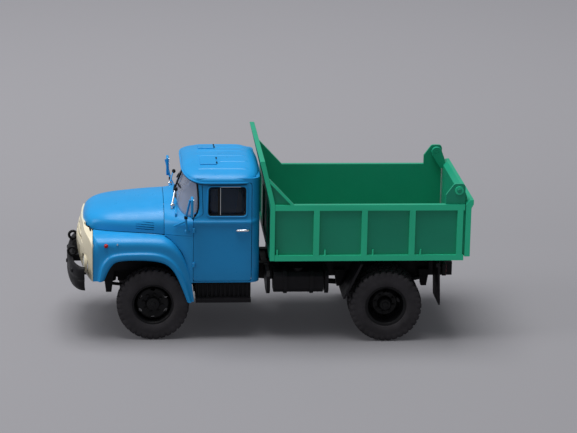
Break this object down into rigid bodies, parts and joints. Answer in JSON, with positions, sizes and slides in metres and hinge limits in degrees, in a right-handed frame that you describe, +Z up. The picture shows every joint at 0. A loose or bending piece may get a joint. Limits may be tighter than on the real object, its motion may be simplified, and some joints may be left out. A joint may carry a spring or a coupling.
{
  "type": "scale model dump truck",
  "caption": "Scale model of a bonneted dump truck with rolling wheel sets, a tipping bed with a leaning front wall and a top-hung tailgate.",
  "frame": {"origin": "bottom centre of the bounding box, on the floor under the middle of the model", "axes": "+X towards the front bumper, +Y to the vehicle's left side, +Z up"},
  "size_m": [0.1328, 0.0588, 0.0618],
  "materials": {
    "black_plastic": "satin black",
    "blue_paint": "glossy blue",
    "cream_paint": "glossy cream",
    "green_paint": "satin green",
    "steel": "plain steel",
    "chrome_trim": "bright",
    "clear_glass": "clear",
    "lamp_glass": "clear",
    "red_plastic": "clear red",
    "dark_interior": "matt dark grey",
    "tyre_rubber": "soft matt rubber"
  },
  "bodies": {
    "chassis": {"frame": "black_plastic", "subframe": "black_plastic", "front_bumper": "black_plastic", "tow_hooks": "black_plastic", "front_springs": "black_plastic", "rear_springs": "black_plastic", "front_axle_beam": "black_plastic", "rear_axle_housing": "black_plastic", "engine_gearbox": "black_plastic", "propshaft": "black_plastic", "exhaust": "black_plastic", "fuel_tank": "black_plastic", "air_tanks": "black_plastic", "tipping_hoist": "black_plastic", "step_left": "black_plastic", "step_right": "black_plastic", "rear_guards": "black_plastic", "mud_flaps": "black_plastic", "tail_lamps": "red_plastic", "bed_hinge_pin": "steel", "cab_shell": "blue_paint", "cab_roof": "blue_paint", "door_left": "blue_paint", "door_right": "blue_paint", "windshield": "clear_glass", "cab_windows": "clear_glass", "hood": "blue_paint", "fender_left": "blue_paint", "fender_right": "blue_paint", "grille_panel": "cream_paint", "head_lamps": "lamp_glass", "mirrors": "blue_paint", "wipers": "chrome_trim", "seat_bench": "dark_interior", "dashboard": "dark_interior", "steering_wheel": "dark_interior"},
    "front_wheelset": {"front_axle_rod": "steel", "front_rims": "black_plastic", "front_tyres": "tyre_rubber"},
    "rear_wheelset": {"rear_axle_rod": "steel", "rear_rims": "black_plastic", "rear_tyres": "tyre_rubber"},
    "dump_bed": {"bed_floor": "green_paint", "bed_sills": "black_plastic", "bed_front_wall": "green_paint", "bed_side_left": "green_paint", "bed_side_right": "green_paint"},
    "tailgate": {"tailgate_panel": "green_paint", "tailgate_pins": "steel"}
  },
  "joints": [
    {"name": "front_wheels_spin", "type": "hinge", "parent": "chassis", "child": "front_wheelset", "pos_m": [0.03795, 0, 0.012], "axis": [0, 1, 0], "continuous": true},
    {"name": "rear_wheels_spin", "type": "hinge", "parent": "chassis", "child": "rear_wheelset", "pos_m": [-0.03875, 0, 0.012], "axis": [0, 1, 0], "continuous": true},
    {"name": "bed_tip", "type": "hinge", "parent": "chassis", "child": "dump_bed", "pos_m": [-0.05875, 0, 0.0246], "axis": [0, -1, 0], "range_deg": [0, 50]},
    {"name": "tailgate_swing", "type": "hinge", "parent": "dump_bed", "child": "tailgate", "pos_m": [-0.06165, 0, 0.0517], "axis": [0, 1, 0], "range_deg": [0, 60]}
  ]
}
